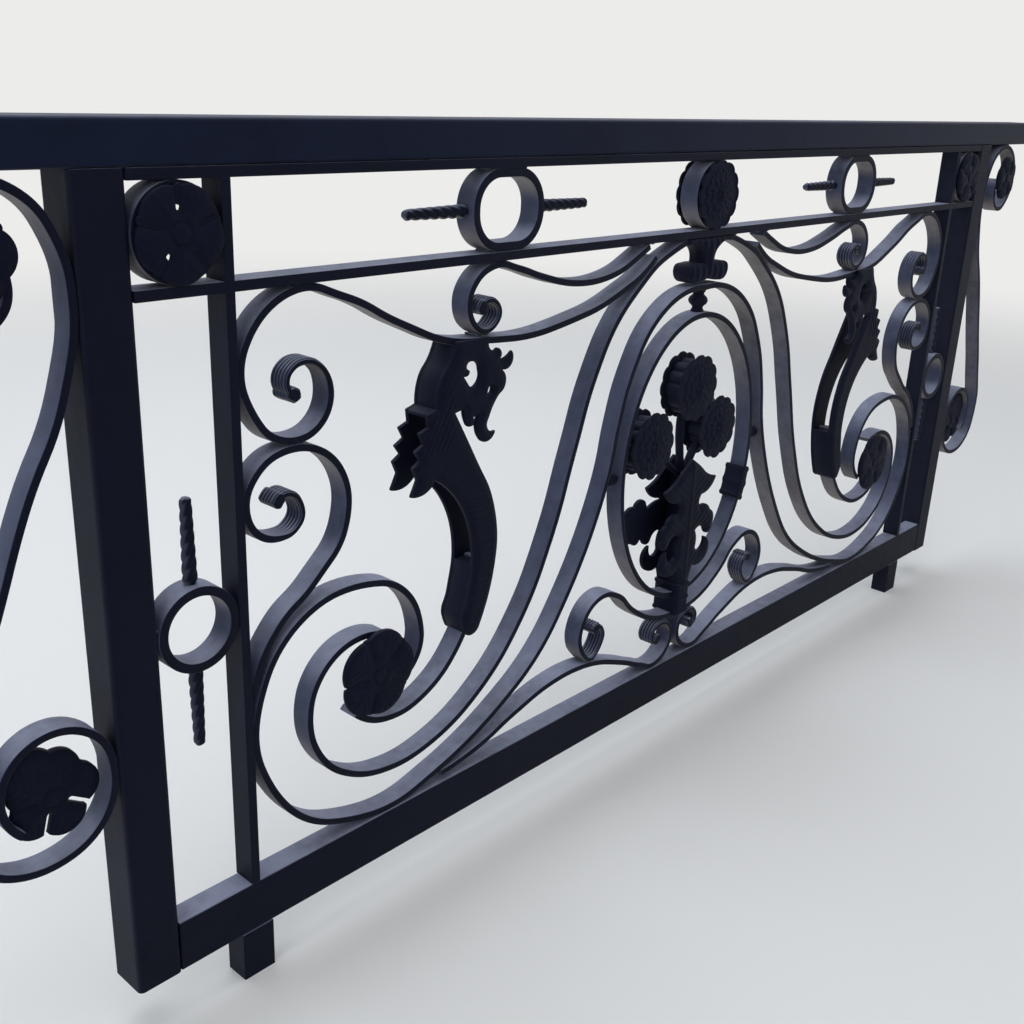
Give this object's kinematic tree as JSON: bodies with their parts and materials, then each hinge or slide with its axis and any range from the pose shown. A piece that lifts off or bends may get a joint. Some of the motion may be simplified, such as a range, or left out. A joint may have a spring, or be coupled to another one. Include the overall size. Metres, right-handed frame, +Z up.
{
  "type": "balcony railing",
  "caption": "Wrought-iron balcony railing: a handrail over a framed panel of flat-bar scrolls, with an oval medallion, dragons, rosettes and a bouquet.",
  "frame": {"origin": "middle of the left foot's underside, on the ledge", "axes": "+X along the railing to the right as seen from the balcony, +Y from the balcony side out towards the street, +Z up"},
  "size_m": [2.2, 0.0586, 0.91],
  "materials": {
    "bar_paint": "satin dark blue-black paint, brushed on and weathered",
    "casting_paint": "satin dark blue-black paint over cast relief",
    "handrail_paint": "satin dark blue-black paint, rubbed by hands"
  },
  "bodies": {
    "root": {"band_bar": "bar_paint", "bottom_rail": "bar_paint", "bouquet": "casting_paint", "centre_flowers": "casting_paint", "centre_ring": "bar_paint", "crown_bud": "casting_paint", "end_band_bars": "bar_paint", "end_rosettes": "casting_paint", "end_top_rings": "bar_paint", "handrail": "handrail_paint", "leaf_rosettes": "casting_paint", "left_band_ring": "bar_paint", "left_dragon": "casting_paint", "left_end_ring": "bar_paint", "left_foot": "bar_paint", "left_inner_upright": "bar_paint", "left_inner_volute": "bar_paint", "left_lower_scroll": "bar_paint", "left_medallion_curl": "bar_paint", "left_outer_volute": "bar_paint", "left_post": "bar_paint", "left_rosette_strap": "bar_paint", "left_side_scroll": "bar_paint", "left_small_scroll": "bar_paint", "left_upper_scroll": "bar_paint", "left_wing_scroll": "bar_paint", "medallion_collars": "casting_paint", "medallion_oval": "bar_paint", "panel_top_bar": "bar_paint", "right_band_ring": "bar_paint", "right_dragon": "casting_paint", "right_end_ring": "bar_paint", "right_foot": "bar_paint", "right_inner_upright": "bar_paint", "right_inner_volute": "bar_paint", "right_lower_scroll": "bar_paint", "right_medallion_curl": "bar_paint", "right_outer_volute": "bar_paint", "right_post": "bar_paint", "right_rosette_strap": "bar_paint", "right_side_scroll": "bar_paint", "right_small_scroll": "bar_paint", "right_upper_scroll": "bar_paint", "right_wing_scroll": "bar_paint", "wing_rosettes": "casting_paint"}
  },
  "joints": []
}
